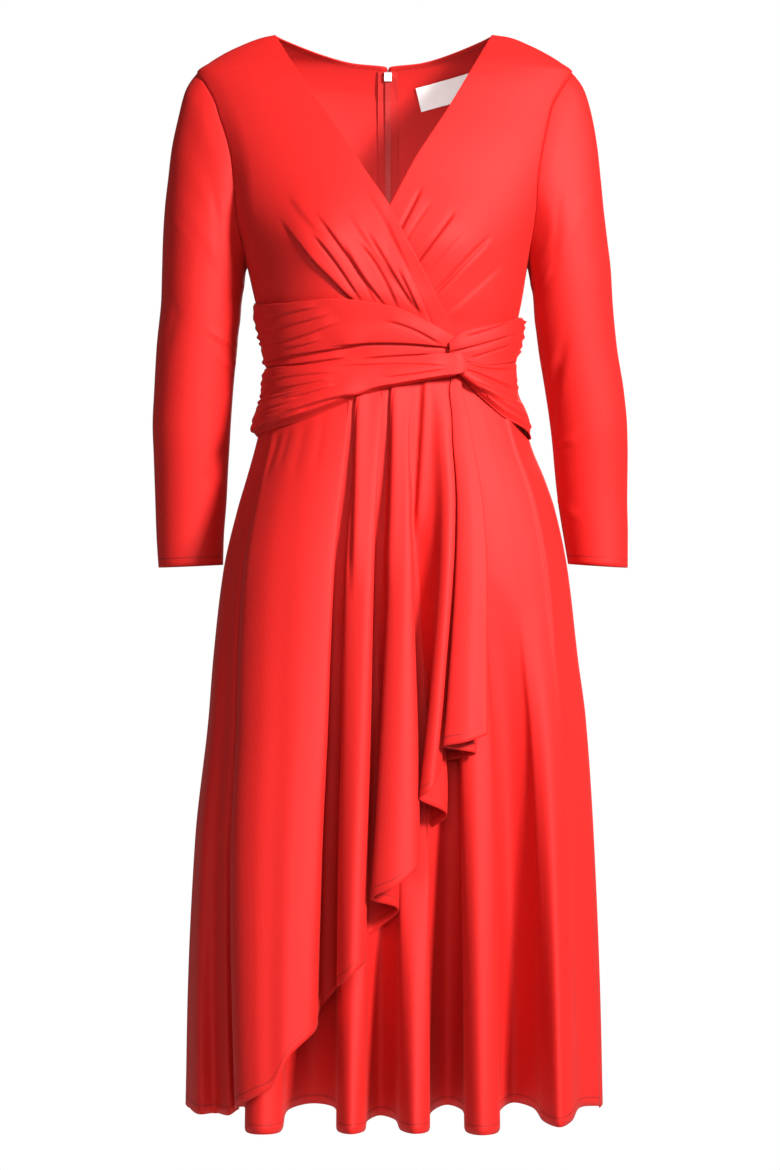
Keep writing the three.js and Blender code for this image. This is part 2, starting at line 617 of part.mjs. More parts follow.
const sliderSolid = joined(
  block(slider.width, slider.body, slider.length, 0, (slider.bodyOuter + bodyInner) / 2, 0),
  block(neck.width, shieldOuter - bodyInner, neck.length, 0, (shieldOuter + bodyInner) / 2, neck.z),
  block(2 * pin.half, shield.thick, shield.length, 0, (shield.inner + shieldOuter) / 2, 0),
  ear(-1),
  ear(1),
  new THREE.CylinderGeometry(pin.radius, pin.radius, 2 * pin.half, pin.sides)
    .rotateZ(quarter).translate(0, pin.y, pin.z));
const sliderMesh = add('zip_slider', sliderSolid, silver);
sliderFrame.add(sliderMesh);
const eyeShape = new THREE.Shape().absarc(0, 0, pullEye.outer, 0, 2 * Math.PI);
eyeShape.holes.push(new THREE.Path().absarc(0, 0, pullEye.hole, 0, 2 * Math.PI, true));
const eyeDepth = { depth: pullEye.width, bevelEnabled: false, curveSegments: 8 };
const eye = new THREE.ExtrudeGeometry(eyeShape, eyeDepth)
  .translate(0, 0, -pullEye.width / 2).rotateY(quarter).translate(0, pin.y, pin.z);
const stemTop = pin.z - (pullEye.outer + pullEye.hole) / 2;
const plateTop = pin.z - pullEye.outer - pull.drop;
const stemEnd = plateTop - pull.stemJoin;
const pullSolid = joined(
  eye,
  block(pullEye.width, pull.thick, stemTop - stemEnd, 0, pin.y, (stemTop + stemEnd) / 2),
  block(pull.width, pull.thick, pull.length, 0, pin.y, plateTop - pull.length / 2));
sliderFrame.add(add('zip_pull_tab', pullSolid, silver));

// Bare label inside the neck, tilted with the neckline
const label = { x: 30, z: -47, width: 60, height: 25, tilt: degToRad(14), thick: 0.6, columns: 6, rows: 2 };
const labelGap = 1;
const labelGrid = [];
for (let r = 0; r <= label.rows; r += 1) {
  const down = (label.height * r) / label.rows;
  labelGrid.push(Array.from({ length: label.columns + 1 }, (_, c) => {
    const along = (label.width * c) / label.columns;
    const x = label.x + along * Math.cos(label.tilt) + down * Math.sin(label.tilt);
    const z = label.z + along * Math.sin(label.tilt) - down * Math.cos(label.tilt);
    return onBack(x, z, labelGap);
  }));
}
add('label_blank', wall(labelGrid, { thickness: label.thick }), satin);

export default dress;
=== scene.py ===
"""A wrap-look jersey midi dress, filled out as worn. Sizes are in millimetres until a mesh is made."""
import math

import bmesh
import bpy
import numpy as np
from mathutils import Matrix


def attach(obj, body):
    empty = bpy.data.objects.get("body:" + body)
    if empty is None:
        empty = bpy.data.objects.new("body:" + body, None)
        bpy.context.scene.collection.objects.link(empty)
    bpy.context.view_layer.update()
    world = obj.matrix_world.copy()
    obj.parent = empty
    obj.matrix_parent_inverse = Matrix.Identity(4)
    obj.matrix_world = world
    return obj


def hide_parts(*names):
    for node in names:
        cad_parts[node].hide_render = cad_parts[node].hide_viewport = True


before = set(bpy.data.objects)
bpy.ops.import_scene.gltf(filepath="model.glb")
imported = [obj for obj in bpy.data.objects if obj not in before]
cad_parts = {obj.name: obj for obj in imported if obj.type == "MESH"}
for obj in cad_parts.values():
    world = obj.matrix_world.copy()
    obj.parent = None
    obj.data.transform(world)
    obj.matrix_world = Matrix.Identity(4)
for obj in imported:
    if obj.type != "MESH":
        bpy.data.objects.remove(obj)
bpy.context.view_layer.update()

MM = 0.001
CLOTH = 1.2
SEAM = 0.3
TUCK = 8
OVER_LIFT = 5
OVERLAY_LIFT = 3
OVERLAY_SIDE_LIFT = 2
NECK_Z = -2
TIP_Z = -42
UNDERARM_Z = -248
WAIST_Z = -350
HEM_Z = -1136
ARMHOLE_STEPS = 8
SIDE_STEPS = 9
STEPS = ARMHOLE_STEPS + SIDE_STEPS
QUARTER = math.pi / 2


# Curves and tables

def lerp(start, end, share):
    return start + (end - start) * share


def ease(start, end, value):
    share = np.clip((value - start) / (end - start), 0, 1)
    return share * share * (3 - 2 * share)


def table(names, *rows):
    data = np.array(rows, float)
    return {name: data[:, i] for i, name in enumerate(names.split())}


def track(data, at, of):
    """A smooth curve through one column of a table, without overshoot."""
    order = np.argsort(data[at])
    x, y = data[at][order], data[of][order]
    slope = np.diff(y) / np.diff(x)
    tangent = np.empty(len(x))
    tangent[0], tangent[-1] = slope[0], slope[-1]
    before, after = slope[:-1], slope[1:]
    same = before * after > 0
    total = np.where(same, before + after, 1)
    tangent[1:-1] = np.where(same, 2 * before * after / total, 0)

    def read(value):
        place = np.clip(value, x[0], x[-1])
        i = np.clip(np.searchsorted(x, place) - 1, 0, len(x) - 2)
        step = x[i + 1] - x[i]
        s = (place - x[i]) / step
        rise = s * (1 - s) * ((1 - s) * tangent[i] - s * tangent[i + 1]) * step
        return lerp(y[i], y[i + 1], s * s * (3 - 2 * s)) + rise

    return read


# The filled-out form: half widths to the wearer's right and left, depths, and squareness of the section

form = table(
    "z right left front back square",
    (-2, 119, 110, 8, 10, 2.2),
    (-5, 133, 129, 12, 22, 2.2),
    (-12, 152, 147, 18, 40, 2.2),
    (-22, 173, 167, 27, 60, 2.2),
    (-32, 189, 183, 36, 68, 2.2),
    (-42, 202, 195, 43, 74, 2.2),
    (-52, 203, 195, 50, 79, 2.2),
    (-85, 200, 190, 67, 87, 2.2),
    (-120, 191, 185, 84, 92, 2.2),
    (-160, 180, 175, 100, 95, 2.2),
    (-200, 168, 163, 112, 95, 2.2),
    (-240, 151, 149, 118, 93, 2.25),
    (-285, 140, 141, 115, 89, 2.3),
    (-320, 131, 134, 106, 87, 2.35),
    (-350, 124, 130, 98, 85, 2.4),
    (-380, 123, 131, 103, 90, 2.42),
    (-409, 130, 143, 107, 96, 2.45),
    (-441, 138, 153, 110, 102, 2.5),
    (-472, 147, 166, 113, 108, 2.55),
    (-505, 157, 177, 116, 116, 2.6),
    (-568, 172, 190, 118, 125, 2.7),
    (-663, 183, 201, 115, 132, 2.8),
    (-726, 188, 209, 113, 136, 2.9),
    (-853, 202, 217, 110, 142, 3.0),
    (-1022, 210, 223, 108, 147, 3.1),
    (-1136, 212, 225, 107, 150, 3.2),
)
form_at = {name: track(form, "z", name) for name in ("right", "left", "front", "back", "square")}
BUST = {"x": 76, "z": -232, "wide": 52, "tall": 46, "rise": 14}


def half_width(sign, z):
    return np.where(np.asarray(sign) < 0, form_at["right"](z), form_at["left"](z))


def bust(x, z):
    side = (np.abs(x) - BUST["x"]) / BUST["wide"]
    height = (z - BUST["z"]) / BUST["tall"]
    return BUST["rise"] * np.exp(-side * side - height * height)


def angle_at(x, z):
    share = np.minimum(1, np.abs(x) / half_width(x, z))
    return np.sign(x) * np.arcsin(share ** (form_at["square"](z) / 2))


def skin(angle, z, lift=0.0, behind=False):
    """Points of the form, at an angle from the centre line, moved out by lift."""
    power = 2 / form_at["square"](z)
    sign = np.sign(angle)
    x = (half_width(sign, z) + lift) * sign * np.abs(np.sin(angle)) ** power
    out = np.clip(np.cos(angle), 0, None) ** power
    depth = form_at["back"](z) if behind else form_at["front"](z) + bust(x, z)
    depth = np.maximum((depth + lift) * out, SEAM / 2)
    return np.stack([x, depth if behind else -depth, z], axis=-1)


# Materials

def linear(code):
    """A linear colour from an sRGB hex value."""
    parts = [int(code[i:i + 2], 16) / 255 for i in (0, 2, 4)]
    return [c / 12.92 if c <= 0.04045 else ((c + 0.055) / 1.055) ** 2.4 for c in parts] + [1.0]


def add_node(tree, kind, settings=(), inputs=()):
    """Adds a node with its settings, and its inputs as numbers, colours or links."""
    made = tree.nodes.new(kind)
    for name, value in dict(settings).items():
        setattr(made, name, value)
    for name, value in dict(inputs).items():
        if isinstance(value, bpy.types.NodeSocket):
            tree.links.new(value, made.inputs[name])
        else:
            made.inputs[name].default_value = value
    return made


def new_material(name):
    made = bpy.data.materials.new(name)
    made.use_nodes = True
    made.node_tree.nodes.clear()
    return made, made.node_tree


STITCH_INSET = 9
STITCH_PITCH = 3.2


def jersey_finish(name, main, shade, thread):
    """Matte polyester and elastane jersey: fine flat wales, no shine, and hems stitched in matching thread.
    The wales are drawn 1.3 mm apart, about twice the real knit, so that they show."""
    material, tree = new_material(name)
    coords = add_node(tree, "ShaderNodeTexCoord")
    drift = add_node(tree, "ShaderNodeTexNoise", {}, {"Vector": coords.outputs["Object"], "Scale": 14.0})
    tone = add_node(tree, "ShaderNodeMix", {"data_type": "RGBA"},
                    {"Factor": drift.outputs["Fac"], "A": linear(main), "B": linear(shade)})
    wale_mm = 1.3
    wale = add_node(tree, "ShaderNodeTexWave", {"bands_direction": "X"},
                    {"Vector": coords.outputs["UV"], "Scale": 1 / (wale_mm * MM * 3.18), "Distortion": 0.6})
    from_edge = add_node(tree, "ShaderNodeAttribute", {"attribute_name": "stitch_mm"})
    inset = add_node(tree, "ShaderNodeMath", {"operation": "SUBTRACT"},
                     {0: from_edge.outputs["Fac"], 1: STITCH_INSET})
    off_line = add_node(tree, "ShaderNodeMath", {"operation": "ABSOLUTE"}, {0: inset.outputs[0]})
    line = add_node(tree, "ShaderNodeMapRange", {}, {
        "Value": off_line.outputs[0], "From Min": 0.4, "From Max": 1.0, "To Min": 1.0, "To Max": 0.0})
    split = add_node(tree, "ShaderNodeSeparateXYZ", {}, {"Vector": coords.outputs["UV"]})
    run = add_node(tree, "ShaderNodeMath", {"operation": "ADD"},
                   {0: split.outputs["X"], 1: split.outputs["Y"]})
    steps = add_node(tree, "ShaderNodeMath", {"operation": "DIVIDE"},
                     {0: run.outputs[0], 1: STITCH_PITCH * MM})
    part = add_node(tree, "ShaderNodeMath", {"operation": "FRACT"}, {0: steps.outputs[0]})
    dash = add_node(tree, "ShaderNodeMath", {"operation": "GREATER_THAN"}, {0: part.outputs[0], 1: 0.28})
    stitch = add_node(tree, "ShaderNodeMath", {"operation": "MULTIPLY"},
                      {0: line.outputs[0], 1: dash.outputs[0]})
    colour = add_node(tree, "ShaderNodeMix", {"data_type": "RGBA"},
                      {"Factor": stitch.outputs[0], "A": tone.outputs["Result"], "B": linear(thread)})
    sunk = add_node(tree, "ShaderNodeMath", {"operation": "SUBTRACT"},
                    {0: wale.outputs["Fac"], 1: line.outputs[0]})
    lift = add_node(tree, "ShaderNodeBump", {},
                    {"Height": sunk.outputs[0], "Strength": 0.16, "Distance": 0.0004})
    shader = add_node(tree, "ShaderNodeBsdfPrincipled", {}, {
        "Base Color": colour.outputs["Result"], "Roughness": 0.72, "Sheen Weight": 0.1,
        "Sheen Roughness": 0.45, "Sheen Tint": linear("FF6A5E"), "Specular IOR Level": 0.34,
        "Normal": lift.outputs["Normal"]})
    add_node(tree, "ShaderNodeOutputMaterial", {}, {"Surface": shader.outputs["BSDF"]})
    return material


def plain_finish(name, colour, roughness, metallic=0.0, grain_mm=0.6, depth=0.1):
    """A moulded, woven or polished finish with a fine grain."""
    material, tree = new_material(name)
    coords = add_node(tree, "ShaderNodeTexCoord")
    grain = add_node(tree, "ShaderNodeTexNoise", {},
                     {"Vector": coords.outputs["Object"], "Scale": 1 / (grain_mm * MM)})
    lift = add_node(tree, "ShaderNodeBump", {},
                    {"Height": grain.outputs["Fac"], "Strength": depth, "Distance": 0.0002})
    shader = add_node(tree, "ShaderNodeBsdfPrincipled", {}, {
        "Base Color": linear(colour), "Roughness": roughness, "Metallic": metallic,
        "Normal": lift.outputs["Normal"]})
    add_node(tree, "ShaderNodeOutputMaterial", {}, {"Surface": shader.outputs["BSDF"]})
    return material


jersey = jersey_finish("matte_red_jersey", "BC0D07", "B50A06", "7E0604")
tape_cloth = plain_finish("woven_zip_tape", "AE0D08", 0.85)
nylon = plain_finish("nylon_zip_coil", "A30D08", 0.62)
silver = plain_finish("plated_zip_alloy", "DADADD", 0.42, metallic=1.0, grain_mm=0.2, depth=0.02)
satin = plain_finish("white_satin_ribbon", "F6F4F2", 0.5, grain_mm=0.4)


# Pieces

UNDERCUT = 0.32
UNDERCUT_AT = 0.75
UNDERCUT_WIDE = 0.6


def crease_relief(places, creases):
    """Heights in mm that a table of creases gives to places on a panel. Each crease bends from x1, z1 through
    x2, z2 to x3, z3. With a reach it is a pleat: the cloth on the left of the way it runs stands high and falls
    away over that reach, with a small undercut below its edge. Without one it is a soft trough."""
    total = np.zeros(len(places))
    along = np.linspace(0, 1, 33)[:, None]
    for x1, z1, x2, z2, x3, z3, width, height, reach in zip(*creases.values()):
        start, middle, end = np.array([x1, z1]), np.array([x2, z2]), np.array([x3, z3])
        bend = 2 * middle - (start + end) / 2
        line = (1 - along) ** 2 * start + 2 * along * (1 - along) * bend + along ** 2 * end
        tangent = np.gradient(line, axis=0)
        speed = np.linalg.norm(tangent, axis=1, keepdims=True)
        tangent /= speed
        away = places[:, None, :] - line
        near = np.argmin((away ** 2).sum(2), axis=1)
        away = away[np.arange(len(places)), near]
        forward = tangent[near]
        side = away[:, 1] * forward[:, 0] - away[:, 0] * forward[:, 1]
        part = along[near, 0] + (away * forward).sum(1) / (speed[near, 0] * (len(along) - 1))
        shown = ease(-0.02, 0.3, part) * (1 - ease(0.8, 1.02, part))
        if reach:
            high = ease(-width / 2, width / 2, side) * np.exp(-(np.maximum(side - width / 2, 0) / reach) ** 2)
            under = np.exp(-((side + UNDERCUT_AT * width) / (UNDERCUT_WIDE * width)) ** 2)
            total += height * shown * (high - UNDERCUT * under)
        else:
            total -= height * shown * np.exp(-(side / width) ** 2)
    return total


EDGES = {
    "first": lambda u, v: (np.zeros_like(u), v),
    "last": lambda u, v: (np.ones_like(u), v),
    "top": lambda u, v: (u, np.zeros_like(v)),
    "hem": lambda u, v: (u, np.ones_like(v)),
}
SEAM_DIP = 0.9
SEAM_SPREAD = 1.8
NO_EDGE = 99


def edge_distance(surface, u, v, names):
    """How far in mm each point is from the nearest of the named edges."""
    points = surface(u, v)
    nearest = np.full(len(points), float(NO_EDGE))
    for name in names.split():
        nearest = np.minimum(nearest, np.linalg.norm(points - surface(*EDGES[name](u, v)), axis=1))
    return nearest


def sheet_piece(name, columns, rows, surface, size, relief=None, closed=False, stitched="", seams=""):
    """A wall of jersey: a grid that surface(u, v) puts in place, moved out by relief(points, u, v) and drawn in
    along its seams. size is the cut's width and length in mm, which sets the scale of the knit."""
    mesh = bmesh.new()
    bmesh.ops.create_grid(mesh, x_segments=columns, y_segments=rows, size=1, calc_uvs=True)
    across, down, stitch_mm, seam_mm = (
        mesh.verts.layers.float.new(word) for word in ("across", "down", "stitch_mm", "seam_mm"))
    place = np.array([vert.co[:] for vert in mesh.verts])
    u, v = (place[:, 0] + 1) / 2, (1 - place[:, 1]) / 2
    uv_layer = mesh.loops.layers.uv.verify()
    from_stitched, from_seam = (edge_distance(surface, u, v, names) for names in (stitched, seams))
    rows_of = zip(mesh.verts, surface(u, v), u, v, from_stitched, from_seam)
    for vert, point, vert_u, vert_v, stitch, seam in rows_of:
        vert.co = point * MM
        vert[across], vert[down], vert[stitch_mm], vert[seam_mm] = vert_u, vert_v, stitch, seam
        for loop in vert.link_loops:
            loop[uv_layer].uv = (vert_u * size[0] * MM, vert_v * size[1] * MM)
    if closed:
        bmesh.ops.remove_doubles(mesh, verts=mesh.verts, dist=1.1 * SEAM * MM)
    mesh.normal_update()
    points = np.array([vert.co[:] for vert in mesh.verts]) / MM
    normals = np.array([vert.normal[:] for vert in mesh.verts])
    u, v, seam = (np.array([vert[layer] for vert in mesh.verts]) for layer in (across, down, seam_mm))
    centre = points * (0, 0, 1)
    if closed:
        _, ring = np.unique(np.round(v, 5), return_inverse=True)
        rings = [np.bincount(ring, points[:, axis]) / np.bincount(ring) for axis in range(3)]
        centre = np.stack(rings, axis=1)[ring]
    if (normals * (points - centre)).sum() < 0:
        bmesh.ops.reverse_faces(mesh, faces=mesh.faces)
        normals = -normals
    out = relief(points, u, v) if relief else np.zeros(len(points))
    out -= SEAM_DIP * np.exp(-(seam / SEAM_SPREAD) ** 2)
    for vert, point in zip(mesh.verts, points + normals * out[:, None]):
        vert.co = point * MM
    for face in mesh.faces:
        face.smooth = True
    data = bpy.data.meshes.new(name)
    mesh.to_mesh(data)
    mesh.free()
    piece = bpy.data.objects.new(name, data)
    bpy.context.scene.collection.objects.link(piece)
    wall = piece.modifiers.new("wall", "SOLIDIFY")
    wall.thickness = CLOTH * MM
    wall.offset = -1
    data.materials.append(jersey)
    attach(piece, "dress")
    return piece


# Bodice

armhole = table("z round", (-42, 90), (-56, 72), (-85, 63), (-130, 60.5), (-165, 63),
                (-190, 68), (-225, 77), (-240, 83), (-248, 90))
armhole_round = track(armhole, "z", "round")


def armhole_z(step):
    return lerp(TIP_Z, UNDERARM_Z, (1 - np.cos(np.pi * step / ARMHOLE_STEPS)) / 2)


def bodice_surface(sign, inner, lift, behind=False, spread=None):
    """A bodice panel between an inner edge and the armhole and side seam."""
    def surface(u, v):
        step = v * STEPS
        on_armhole = step <= ARMHOLE_STEPS
        low = lerp(UNDERARM_Z, WAIST_Z + SEAM / 2, (step - ARMHOLE_STEPS) / SIDE_STEPS)
        outer_z = np.where(on_armhole, armhole_z(np.minimum(step, ARMHOLE_STEPS)), low)
        outer = sign * np.where(on_armhole, np.radians(armhole_round(outer_z)), QUARTER)
        x, z = inner(step)
        first = np.where(step < 1e-6, sign * QUARTER, angle_at(x, z))
        share = spread(u, step) if spread else u
        return skin(lerp(first, outer, share), lerp(z, outer_z, share), lift(u, step, share), behind)
    return surface


over_edge = table("z x", (-2, -119), (-53, -90), (-117, -48), (-161, -21), (-195, 1),
                  (-234, 20), (-286, 47), (-321, 64), (-350, 71))
under_edge = table("z x", (-2, 110), (-52, 83), (-89, 62), (-144, 28), (-190, 4),
                   (-234, -20), (-286, -45), (-321, -60), (-350, -66))
FRONT_BEND_Z = -215


def front_inner(edge):
    edge_x = track(edge, "z", "x")

    def inner(step):
        share = (armhole_z(np.minimum(step, ARMHOLE_STEPS)) - TIP_Z) / (UNDERARM_Z - TIP_Z)
        low = lerp(FRONT_BEND_Z, WAIST_Z + SEAM / 2, (step - ARMHOLE_STEPS) / SIDE_STEPS)
        z = np.where(step <= ARMHOLE_STEPS, lerp(NECK_Z, FRONT_BEND_Z, share), low)
        return edge_x(z), z
    return inner


CREASE = "x1 z1 x2 z2 x3 z3 width height reach"
right_front_creases = table(
    CREASE,
    (-112, -206, -70, -259, -30, -297, 3.4, 3.0, 14),
    (-94, -240, -62, -266, -36, -296, 3.0, 1.2, 6),
    (-77, -226, -54, -253, -24, -298, 2.8, 2.2, 9),
    (-76, -199, -39, -251, 2, -304, 3.0, 2.4, 12),
    (-30, -234, -8, -262, 13, -306, 2.8, 1.8, 7),
    (-22, -220, 2, -260, 31, -306, 3.0, 2.2, 10),
    (10, -258, 22, -283, 34, -308, 2.8, 1.8, 5),
    (-104, -180, -88, -204, -68, -228, 6.0, 0.8, 12),
    (-46, -236, -30, -262, -10, -300, 2.8, 1.3, 5),
    (-42, -203, -16, -241, 14, -284, 4.0, 1.0, 9),
    (-24, -176, -3, -212, 17, -256, 4.0, 0.8, 10),
    (-16, -184, 18, -258, 54, -336, 1.8, 0.6, 0),
)
left_front_creases = table(
    CREASE,
    (35, -176, 23, -201, 8, -230, 1.7, 2.4, 0),
    (35, -176, 23, -201, 8, -230, 2.6, 1.8, 10),
    (46, -190, 30, -213, 14, -240, 1.6, 0.9, 0),
    (70, -200, 50, -228, 22, -265, 1.8, 2.6, 0),
    (70, -200, 50, -228, 22, -265, 2.8, 2.0, 11),
    (82, -222, 62, -243, 36, -274, 1.6, 0.8, 0),
    (108, -224, 81, -253, 38, -297, 1.8, 2.2, 0),
    (108, -224, 81, -253, 38, -297, 3.0, 1.8, 12),
    (124, -250, 92, -280, 60, -309, 4.0, 0.9, 12),
)
back_right_creases = table(
    CREASE,
    (-150, -236, -112, -262, -70, -280, 4.0, 1.3, 9),
    (-118, -345, -92, -318, -74, -282, 5.0, 1.4, 10),
    (-14, -300, -34, -318, -66, -330, 5.0, 1.0, 0),
    (-128, -150, -112, -184, -96, -214, 7.0, 1.0, 0),
)
back_left_creases = table(
    CREASE,
    (62, -272, 104, -262, 148, -244, 4.0, 1.2, 8),
    (66, -294, 90, -322, 124, -340, 5.0, 1.3, 9),
    (20, -284, 44, -306, 84, -318, 6.0, 1.0, 0),
    (132, -138, 120, -176, 110, -206, 8.0, 0.9, 0),
)


DRAW = 0.4
DRAWN_PART = 0.82


def drawn(across, step):
    """Below the bust the pleats draw the panel towards the knot."""
    pull = DRAW * ease(6, 15, step)
    low = np.minimum(across, DRAWN_PART) * (1 - pull)
    rest = np.maximum(0, across - DRAWN_PART) / (1 - DRAWN_PART)
    return low + rest * (1 - DRAWN_PART * (1 - pull))


def over_lift(across, step, share):
    return OVER_LIFT * ease(0, 7, step) * (1 - ease(0.7, 1, share))


ZIP_EDGE = 0.8
ZIP_END = -560
back_inner = table("step share z", (0, 1, NECK_Z), (1, 0.82, -8), (2, 0.6, -14.8), (3, 0.32, -21.6), (4, 0, -26),
                   (5, 0, -48), (6, 0, -85), (8, 0, -165), (17, 0, WAIST_Z + SEAM / 2))


def back_edge(sign):
    share, z = track(back_inner, "step", "share"), track(back_inner, "step", "z")
    return lambda step: (sign * np.maximum(ZIP_EDGE, share(step) * half_width(sign, NECK_Z)), z(step))


def flat_lift(across, step, share):
    return np.zeros_like(across)


def relief_of(creases):
    return lambda points, u, v: crease_relief(points[:, [0, 2]], creases)


right_front = sheet_piece("right_front", 200, 215,
                          bodice_surface(-1, front_inner(over_edge), over_lift, spread=drawn),
                          (260, 350), relief_of(right_front_creases), seams="last")
left_front = sheet_piece("left_front", 160, 180,
                         bodice_surface(1, front_inner(under_edge), flat_lift, spread=drawn),
                         (240, 350), relief_of(left_front_creases), seams="last")
back_right = sheet_piece("back_right", 60, 90, bodice_surface(-1, back_edge(-1), flat_lift, True), (200, 350),
                         relief_of(back_right_creases), stitched="first", seams="first last hem")
back_left = sheet_piece("back_left", 60, 90, bodice_surface(1, back_edge(1), flat_lift, True), (200, 350),
                        relief_of(back_left_creases), stitched="first", seams="first last hem")

# Sleeves

SLEEVE = "out_x out_z in_x in_z half y"
right_sections = table(SLEEVE,
                       (-200, -42, -152, -248, 48, 0),
                       (-212, -60, -153, -254, 50, 0),
                       (-221, -92, -153, -260, 51, 0),
                       (-228, -124, -153, -267, 52, 0),
                       (-232, -155, -154, -276, 52, 0),
                       (-236, -187, -155, -288, 51, 1),
                       (-238, -219, -156, -302, 50, 2),
                       (-239, -251, -158, -316, 49, 3),
                       (-240, -282, -160, -338, 48, 5),
                       (-245, -330, -163, -366, 46, 8),
                       (-248, -377, -166, -402, 44, 12),
                       (-250, -415, -168, -432, 43, 16),
                       (-249, -450, -170, -462, 41, 20),
                       (-248, -490, -172, -496, 39, 25),
                       (-247, -530, -175, -532, 37, 30),
                       (-245, -565, -176, -562, 35, 33))
left_sections = table(SLEEVE,
                      (191, -42, 148, -248, 48, 0),
                      (204, -60, 149, -254, 50, 0),
                      (214, -92, 150, -260, 51, 0),
                      (220, -124, 151, -267, 52, 0),
                      (224, -155, 153, -276, 52, 0),
                      (228, -187, 154, -288, 51, 2),
                      (232, -219, 155, -302, 50, 4),
                      (236, -251, 157, -316, 49, 7),
                      (238, -282, 160, -338, 48, 11),
                      (243, -330, 165, -366, 46, 17),
                      (251, -377, 171, -402, 44, 24),
                      (255, -415, 175, -432, 43, 30),
                      (256, -450, 178, -462, 41, 36),
                      (256, -490, 182, -496, 39, 42),
                      (257, -530, 188, -532, 37, 46),
                      (257, -565, 193, -561, 35, 48))
CAP_RINGS = 5
CAP_TUCK = 4
CAP_UNDER = 0.9
CAP_IN = 0.012


def sleeve_surface(sections, sign):
    count = len(sections["y"])
    data = dict(sections, ring=np.arange(count))
    read = {name: track(data, "ring", name) for name in sections}

    def ellipse(ring, turn):
        share = (1 + np.cos(turn)) / 2
        return np.stack([
            lerp(read["in_x"](ring), read["out_x"](ring), share),
            read["y"](ring) - read["half"](ring) * np.sin(turn),
            lerp(read["in_z"](ring), read["out_z"](ring), share)], axis=-1)

    def surface(u, v):
        turn = 2 * np.pi * u
        ring = v * (count - 1)
        z = lerp(TIP_Z, UNDERARM_Z, (1 - np.cos(turn)) / 2)
        angle = sign * np.radians(armhole_round(z))
        seam = np.where((turn > np.pi)[:, None], skin(angle, z, 0.0, True), skin(angle, z))
        shift = (seam - ellipse(np.zeros_like(turn), turn)) * np.maximum(0, 1 - ring / CAP_RINGS)[:, None]
        points = ellipse(ring, turn) + shift
        under = np.clip(1 - CAP_TUCK * ring, 0, 1)
        points[:, 0] -= sign * CAP_UNDER * under
        points[:, 1] *= 1 - CAP_IN * under
        return points
    return surface


def unrolled(size, creases):
    """Relief for a tube, from creases drawn on its unrolled cloth: mm round from the outer side, and down."""
    return lambda points, u, v: crease_relief(np.stack([u * size[0], -v * size[1]], axis=1), creases)


right_sleeve_creases = table(
    CREASE,
    (50, -266, 44, -292, 35, -314, 7.0, 0.8, 0),
    (84, -280, 118, -276, 150, -262, 3.0, 1.4, 8),
    (96, -300, 126, -302, 152, -290, 3.0, 1.2, 7),
    (205, -250, 186, -276, 160, -288, 4.0, 1.4, 9),
    (250, -300, 225, -322, 190, -330, 5.0, 1.2, 0),
    (70, -60, 90, -110, 104, -170, 9.0, 1.2, 0),
    (238, -50, 226, -110, 215, -165, 9.0, 1.2, 0),
    (92, -420, 112, -436, 140, -440, 4.0, 0.9, 0),
)
left_sleeve_creases = table(
    CREASE,
    (84, -381, 116, -388, 150, -380, 2.6, 2.0, 8),
    (98, -468, 124, -462, 150, -446, 2.6, 1.8, 8),
    (86, -276, 118, -322, 142, -368, 8.0, 3.0, 0),
    (92, -300, 122, -306, 150, -300, 3.0, 1.3, 8),
    (205, -270, 186, -292, 158, -306, 4.0, 1.4, 9),
    (252, -320, 226, -340, 195, -346, 5.0, 1.1, 0),
    (72, -64, 88, -120, 100, -176, 9.0, 1.1, 0),
    (236, -56, 228, -112, 214, -170, 9.0, 1.1, 0),
)
SLEEVE_CUT = (300, 520)


sleeve_right = sheet_piece("sleeve_right_cloth", 80, 120, sleeve_surface(right_sections, -1), SLEEVE_CUT,
                           unrolled(SLEEVE_CUT, right_sleeve_creases), closed=True, stitched="hem")
sleeve_left = sheet_piece("sleeve_left_cloth", 80, 120, sleeve_surface(left_sections, 1), SLEEVE_CUT,
                          unrolled(SLEEVE_CUT, left_sleeve_creases), closed=True, stitched="hem")

# Waistband pieces, from the side seam to the knot

